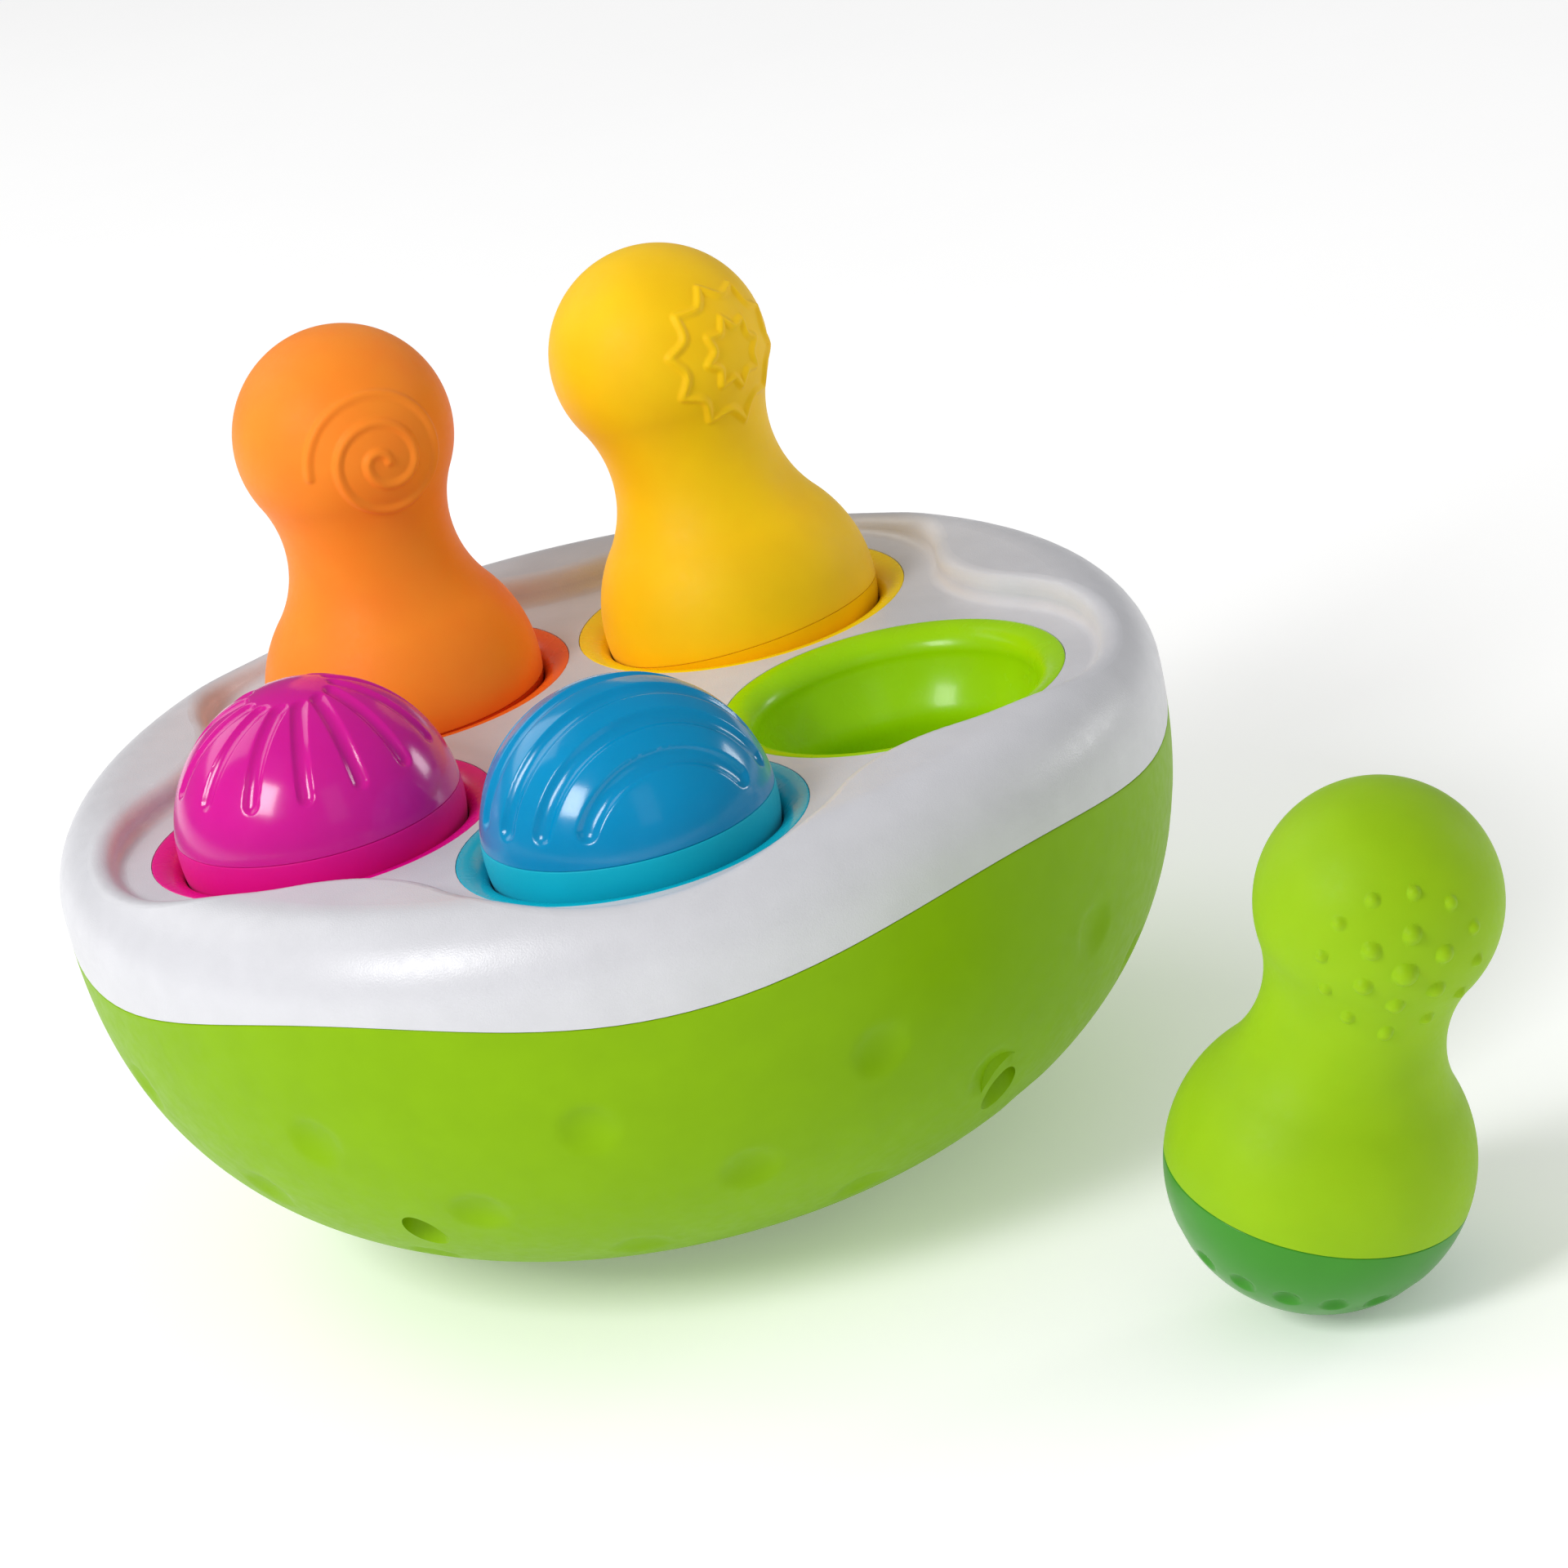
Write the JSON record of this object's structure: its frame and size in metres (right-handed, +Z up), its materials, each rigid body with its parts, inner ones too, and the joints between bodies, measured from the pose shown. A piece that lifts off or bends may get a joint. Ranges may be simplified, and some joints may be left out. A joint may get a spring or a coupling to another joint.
{
  "type": "roly-poly stacking toy",
  "caption": "Rocking round-bottomed tray with a white deck and coloured cups that hold weighted roly-poly pins, either way up, with a further pin standing beside it.",
  "frame": {"origin": "middle of the small flat on the bottom of the tray that it stands on", "axes": "+Z up through the middle of the deck, +X from the middle to the empty green cup, the other cups every 72 degrees about +Z"},
  "size_m": [0.3008, 0.2395, 0.175],
  "materials": {
    "deck_white": "fine matte grain",
    "shell_green": "satin",
    "cup_lime": "gloss",
    "cup_yellow": "gloss",
    "cup_orange": "gloss",
    "cup_pink": "gloss",
    "cup_teal": "gloss",
    "skin_yellow": "soft matte",
    "skin_orange": "soft matte",
    "skin_pink": "soft matte",
    "skin_teal": "soft matte",
    "skin_lime": "soft matte",
    "base_yellow": "gloss",
    "base_orange": "gloss",
    "base_magenta": "gloss",
    "base_blue": "gloss",
    "base_green": "satin",
    "inner_plastic": "matte",
    "steel": "plain"
  },
  "bodies": {
    "tray": {"lower_shell": "shell_green", "top_deck": "deck_white", "green_cup": "cup_lime", "yellow_cup": "cup_yellow", "orange_cup": "cup_orange", "magenta_cup": "cup_pink", "blue_cup": "cup_teal", "cup_retainer": "inner_plastic", "retainer_screws": "steel", "deck_screws": "steel", "ballast_weight": "steel", "ballast_screws": "steel"},
    "yellow_lift": {"yellow_beads": "steel"},
    "yellow_wobble": {"yellow_weight": "steel"},
    "yellow_pin": {"yellow_skin": "skin_yellow", "yellow_core": "inner_plastic", "yellow_base": "base_yellow", "yellow_weight_cover": "inner_plastic", "yellow_bead_lid": "inner_plastic", "yellow_base_screws": "steel"},
    "orange_lift": {"orange_beads": "steel"},
    "orange_wobble": {"orange_weight": "steel"},
    "orange_pin": {"orange_skin": "skin_orange", "orange_core": "inner_plastic", "orange_base": "base_orange", "orange_weight_cover": "inner_plastic", "orange_bead_lid": "inner_plastic", "orange_base_screws": "steel"},
    "magenta_lift": {"magenta_beads": "steel"},
    "magenta_pin": {"magenta_skin": "skin_pink", "magenta_core": "inner_plastic", "magenta_base": "base_magenta", "magenta_weight_cover": "inner_plastic", "magenta_bead_lid": "inner_plastic", "magenta_base_screws": "steel", "magenta_weight": "steel"},
    "blue_lift": {"blue_beads": "steel"},
    "blue_pin": {"blue_skin": "skin_teal", "blue_core": "inner_plastic", "blue_base": "base_blue", "blue_weight_cover": "inner_plastic", "blue_bead_lid": "inner_plastic", "blue_base_screws": "steel", "blue_weight": "steel"},
    "green_lift": {"green_beads": "steel"},
    "green_wobble": {"green_weight": "steel"},
    "green_pin": {"green_skin": "skin_lime", "green_core": "inner_plastic", "green_base": "base_green", "green_weight_cover": "inner_plastic", "green_bead_lid": "inner_plastic", "green_base_screws": "steel"}
  },
  "joints": [
    {"name": "yellow_pin_lift", "type": "slide", "parent": "tray", "child": "yellow_lift", "axis": [0, 0, 1], "range_m": [0, 0.04]},
    {"name": "yellow_pin_wobble", "type": "hinge", "parent": "yellow_lift", "child": "yellow_wobble", "pos_m": [0.01891, 0.0582, 0.0967], "axis": [-0.4384, -0.8988, 0], "range_deg": [-27, 13]},
    {"name": "yellow_pin_spin", "type": "hinge", "parent": "yellow_wobble", "child": "yellow_pin", "pos_m": [0.01891, 0.0582, 0.0967], "axis": [-0.1095, 0.0534, 0.9925], "continuous": true},
    {"name": "orange_pin_lift", "type": "slide", "parent": "tray", "child": "orange_lift", "axis": [0, 0, 1], "range_m": [0, 0.04]},
    {"name": "orange_pin_wobble", "type": "hinge", "parent": "orange_lift", "child": "orange_wobble", "pos_m": [-0.04951, 0.03597, 0.0967], "axis": [-0.5878, -0.809, 0], "range_deg": [-20, 20]},
    {"name": "orange_pin_spin", "type": "hinge", "parent": "orange_wobble", "child": "orange_pin", "pos_m": [-0.04951, 0.03597, 0.0967], "axis": [0, 0, 1], "continuous": true},
    {"name": "magenta_pin_lift", "type": "slide", "parent": "tray", "child": "magenta_lift", "axis": [0, 0, 1], "range_m": [0, 0.09]},
    {"name": "magenta_pin_spin", "type": "hinge", "parent": "magenta_lift", "child": "magenta_pin", "pos_m": [-0.04951, -0.03597, 0.0967], "axis": [0, 0, 1], "continuous": true},
    {"name": "blue_pin_lift", "type": "slide", "parent": "tray", "child": "blue_lift", "axis": [0, 0, 1], "range_m": [0, 0.09]},
    {"name": "blue_pin_spin", "type": "hinge", "parent": "blue_lift", "child": "blue_pin", "pos_m": [0.01891, -0.0582, 0.0967], "axis": [0, 0, 1], "continuous": true},
    {"name": "green_pin_lift", "type": "slide", "parent": "tray", "child": "green_lift", "axis": [0, 0, 1], "range_m": [0, 0.1]},
    {"name": "green_pin_wobble", "type": "hinge", "parent": "green_lift", "child": "green_wobble", "pos_m": [0.1448, -0.0975, 0.029], "axis": [0.1942, 0.981, 0], "range_deg": [-56.7, 13.3]},
    {"name": "green_pin_spin", "type": "hinge", "parent": "green_wobble", "child": "green_pin", "pos_m": [0.1448, -0.0975, 0.029], "axis": [0.3627, -0.0718, 0.9291], "continuous": true}
  ]
}
